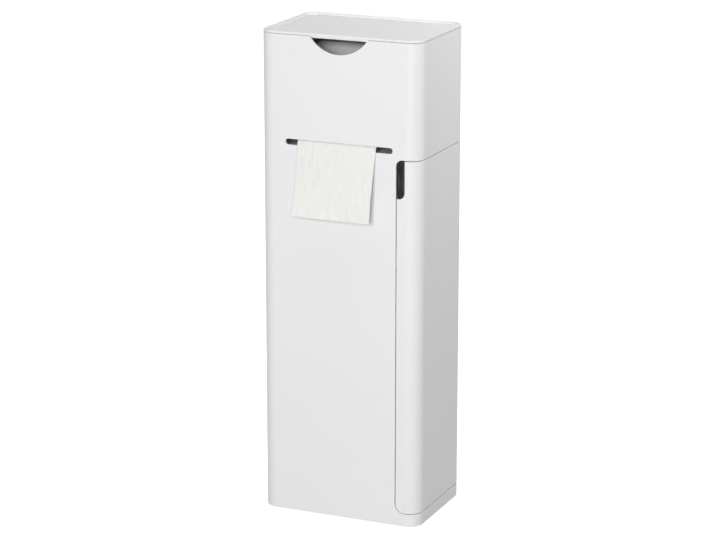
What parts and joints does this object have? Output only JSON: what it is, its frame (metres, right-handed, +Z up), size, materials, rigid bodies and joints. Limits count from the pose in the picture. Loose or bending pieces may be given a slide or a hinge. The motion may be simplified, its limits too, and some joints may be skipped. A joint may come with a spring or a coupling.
{
  "type": "freestanding toilet butler",
  "caption": "Slim rounded white tower that holds a paper roll under a hinged tray lid, with a front paper slot and a side door hiding a brush and cup.",
  "frame": {"origin": "on the floor, below the centre of the tower's rounded outline", "axes": "+X to the right and +Y to the back as seen from the front, +Z up"},
  "size_m": [0.203, 0.1593, 0.587],
  "materials": {
    "housing_white": "satin",
    "inner_white": "matt",
    "screw_steel": "zinc plated",
    "pin_steel": "ground",
    "ballast_steel": "black painted",
    "foot_rubber": "matt",
    "buffer_clear": "translucent",
    "bush_nylon": "natural nylon",
    "magnet_nickel": "nickel plated",
    "paper_white": "embossed tissue",
    "core_card": "grey brown card",
    "spindle_grey": "matt",
    "bristle_white": "nylon bristle"
  },
  "bodies": {
    "housing": {"housing_shell": "housing_white", "rear_panel": "housing_white", "rear_panel_screws": "screw_steel", "roll_floor": "inner_white", "floor_screws": "screw_steel", "partition": "inner_white", "partition_screws": "screw_steel", "base_tray": "inner_white", "base_screws": "screw_steel", "ballast_plate": "ballast_steel", "ballast_screws": "screw_steel", "rubber_feet": "foot_rubber", "roll_post_left": "inner_white", "roll_post_right": "inner_white", "post_screws": "screw_steel", "pivot_bush_upper": "bush_nylon", "pivot_bush_lower": "bush_nylon", "magnet_holder": "inner_white", "magnet_screws": "screw_steel", "door_magnet": "magnet_nickel", "lid_hinge_pins": "pin_steel", "lid_buffers": "buffer_clear", "paper_sheet": "paper_white"},
    "lid": {"lid_tray": "housing_white"},
    "roll": {"spindle_tube": "spindle_grey", "spindle_cap_left": "spindle_grey", "spindle_cap_right": "spindle_grey", "roll_core": "core_card", "paper_roll": "paper_white"},
    "door": {"side_door": "housing_white", "door_pivot_pins": "pin_steel", "strike_plate": "pin_steel"},
    "cup": {"brush_cup": "inner_white"},
    "brush": {"brush_handle": "inner_white", "brush_collar": "inner_white", "brush_hub": "inner_white", "brush_bristles": "bristle_white"}
  },
  "joints": [
    {"name": "lid_hinge", "type": "hinge", "parent": "housing", "child": "lid", "pos_m": [0, 0.0671, 0.584], "axis": [-1, 0, 0], "range_deg": [0, 100]},
    {"name": "door_hinge", "type": "hinge", "parent": "housing", "child": "door", "pos_m": [0.0845, 0.053, 0.2315], "axis": [0, 0, 1], "range_deg": [0, 105]},
    {"name": "roll_spin", "type": "hinge", "parent": "housing", "child": "roll", "pos_m": [0, 0, 0.51], "axis": [1, 0, 0], "continuous": true},
    {"name": "cup_lift", "type": "slide", "parent": "housing", "child": "cup", "axis": [0, 0, 1], "range_m": [0, 0.01]},
    {"name": "brush_lift", "type": "slide", "parent": "cup", "child": "brush", "axis": [0, 0, 1], "range_m": [0, 0.06]}
  ]
}
